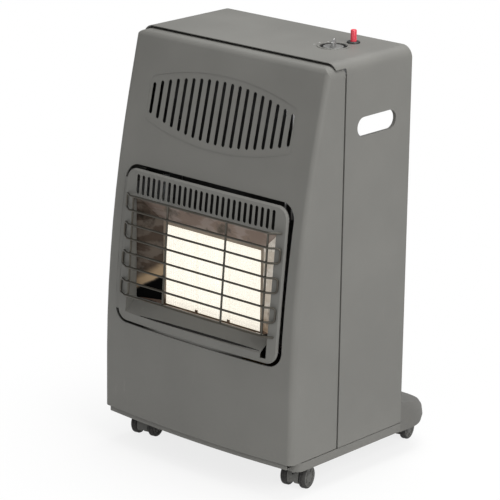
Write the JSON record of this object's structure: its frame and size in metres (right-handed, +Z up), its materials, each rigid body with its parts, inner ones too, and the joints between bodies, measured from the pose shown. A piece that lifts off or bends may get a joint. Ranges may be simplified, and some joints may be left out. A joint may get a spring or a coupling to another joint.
{
  "type": "portable gas cabinet heater",
  "caption": "Upright portable gas heater cabinet with a bowed leaning front, slotted grille, ceramic burner behind a wire guard, and castors.",
  "frame": {"origin": "on the floor under the middle of the heater's outline", "axes": "+Z up, +Y towards the open back, +X towards the right-hand side seen from the front"},
  "size_m": [0.42, 0.4025, 0.733],
  "materials": {
    "base_paint": "satin",
    "black_plastic": "satin",
    "brass": "satin",
    "cast_aluminium": "matte",
    "dark_plastic": "satin",
    "gloss_black": "gloss",
    "glowing_ceramic": "matte",
    "grey_paint": "satin",
    "heated_steel": "satin",
    "knob_silver": "satin",
    "pipe_aluminium": "satin",
    "plated_pins": "satin",
    "plated_sheet": "satin",
    "plated_wire": "satin",
    "red_plastic": "gloss",
    "reflector_steel": "bright",
    "wheel_plastic": "satin",
    "white_ceramic": "gloss"
  },
  "bodies": {
    "cabinet": {"base_tray": "base_paint", "burner_box": "heated_steel", "burner_bracket_left": "plated_sheet", "burner_bracket_right": "plated_sheet", "burner_stays": "heated_steel", "burner_surround": "grey_paint", "cabinet_wrap": "grey_paint", "castor_sockets": "plated_pins", "control_dish": "gloss_black", "front_cover": "grey_paint", "gas_rail": "brass", "gas_valve": "cast_aluminium", "heat_shield": "plated_sheet", "hose_nozzle": "brass", "igniter_body": "black_plastic", "igniter_collar": "black_plastic", "main_pipe": "pipe_aluminium", "panel_screws": "plated_pins", "pilot_bracket": "heated_steel", "pilot_burner": "heated_steel", "pilot_pipe": "pipe_aluminium", "plaque_centre": "glowing_ceramic", "plaque_frame": "heated_steel", "plaque_left": "glowing_ceramic", "plaque_right": "glowing_ceramic", "rear_housing_left": "dark_plastic", "rear_housing_right": "dark_plastic", "reflector_floor": "reflector_steel", "reflector_left": "reflector_steel", "reflector_right": "reflector_steel", "reflector_top": "reflector_steel", "spark_electrode": "white_ceramic", "thermocouple": "heated_steel", "top_baffle": "plated_sheet", "valve_bracket": "plated_sheet", "venturi_tubes": "heated_steel", "wire_guard": "plated_wire"},
    "valve_plunger": {"valve_plunger": "brass"},
    "control_knob": {"control_knob": "knob_silver", "valve_spindle": "plated_pins"},
    "igniter_button": {"igniter_button": "red_plastic"},
    "castor_front_left": {"castor_body_front_left": "black_plastic", "castor_pins_front_left": "plated_pins"},
    "wheel_a_front_left": {"castor_wheel_a_front_left": "wheel_plastic"},
    "wheel_b_front_left": {"castor_wheel_b_front_left": "wheel_plastic"},
    "castor_front_right": {"castor_body_front_right": "black_plastic", "castor_pins_front_right": "plated_pins"},
    "wheel_a_front_right": {"castor_wheel_a_front_right": "wheel_plastic"},
    "wheel_b_front_right": {"castor_wheel_b_front_right": "wheel_plastic"},
    "castor_rear_left": {"castor_body_rear_left": "black_plastic", "castor_pins_rear_left": "plated_pins"},
    "wheel_a_rear_left": {"castor_wheel_a_rear_left": "wheel_plastic"},
    "wheel_b_rear_left": {"castor_wheel_b_rear_left": "wheel_plastic"},
    "castor_rear_right": {"castor_body_rear_right": "black_plastic", "castor_pins_rear_right": "plated_pins"},
    "wheel_a_rear_right": {"castor_wheel_a_rear_right": "wheel_plastic"},
    "wheel_b_rear_right": {"castor_wheel_b_rear_right": "wheel_plastic"}
  },
  "joints": [
    {"name": "valve_press", "type": "slide", "parent": "cabinet", "child": "valve_plunger", "axis": [0, 0, -1], "range_m": [0, 0.004], "stiffness_N_per_m": 900, "springref_m": -0.002},
    {"name": "knob_turn", "type": "hinge", "parent": "valve_plunger", "child": "control_knob", "pos_m": [0.121, -0.0015, 0.7], "axis": [0, 0, -1], "range_deg": [0, 210]},
    {"name": "igniter_press", "type": "slide", "parent": "cabinet", "child": "igniter_button", "axis": [0, 0, -1], "range_m": [0, 0.007], "stiffness_N_per_m": 700, "springref_m": -0.003},
    {"name": "swivel_front_left", "type": "hinge", "parent": "cabinet", "child": "castor_front_left", "pos_m": [-0.1705, -0.136, 0.045], "axis": [0, 0, 1], "continuous": true},
    {"name": "roll_a_front_left", "type": "hinge", "parent": "castor_front_left", "child": "wheel_a_front_left", "pos_m": [-0.1732, -0.12328, 0.0195], "axis": [0.9781, 0.2079, 0], "continuous": true},
    {"name": "roll_b_front_left", "type": "hinge", "parent": "castor_front_left", "child": "wheel_b_front_left", "pos_m": [-0.1732, -0.12328, 0.0195], "axis": [0.9781, 0.2079, 0], "continuous": true},
    {"name": "swivel_front_right", "type": "hinge", "parent": "cabinet", "child": "castor_front_right", "pos_m": [0.1705, -0.136, 0.045], "axis": [0, 0, 1], "continuous": true},
    {"name": "roll_a_front_right", "type": "hinge", "parent": "castor_front_right", "child": "wheel_a_front_right", "pos_m": [0.1678, -0.12328, 0.0195], "axis": [0.9781, 0.2079, 0], "continuous": true},
    {"name": "roll_b_front_right", "type": "hinge", "parent": "castor_front_right", "child": "wheel_b_front_right", "pos_m": [0.1678, -0.12328, 0.0195], "axis": [0.9781, 0.2079, 0], "continuous": true},
    {"name": "swivel_rear_left", "type": "hinge", "parent": "cabinet", "child": "castor_rear_left", "pos_m": [-0.148, 0.1545, 0.045], "axis": [0, 0, 1], "continuous": true},
    {"name": "roll_a_rear_left", "type": "hinge", "parent": "castor_rear_left", "child": "wheel_a_rear_left", "pos_m": [-0.1507, 0.16722, 0.0195], "axis": [0.9781, 0.2079, 0], "continuous": true},
    {"name": "roll_b_rear_left", "type": "hinge", "parent": "castor_rear_left", "child": "wheel_b_rear_left", "pos_m": [-0.1507, 0.16722, 0.0195], "axis": [0.9781, 0.2079, 0], "continuous": true},
    {"name": "swivel_rear_right", "type": "hinge", "parent": "cabinet", "child": "castor_rear_right", "pos_m": [0.148, 0.1545, 0.045], "axis": [0, 0, 1], "continuous": true},
    {"name": "roll_a_rear_right", "type": "hinge", "parent": "castor_rear_right", "child": "wheel_a_rear_right", "pos_m": [0.1453, 0.16722, 0.0195], "axis": [0.9781, 0.2079, 0], "continuous": true},
    {"name": "roll_b_rear_right", "type": "hinge", "parent": "castor_rear_right", "child": "wheel_b_rear_right", "pos_m": [0.1453, 0.16722, 0.0195], "axis": [0.9781, 0.2079, 0], "continuous": true}
  ]
}
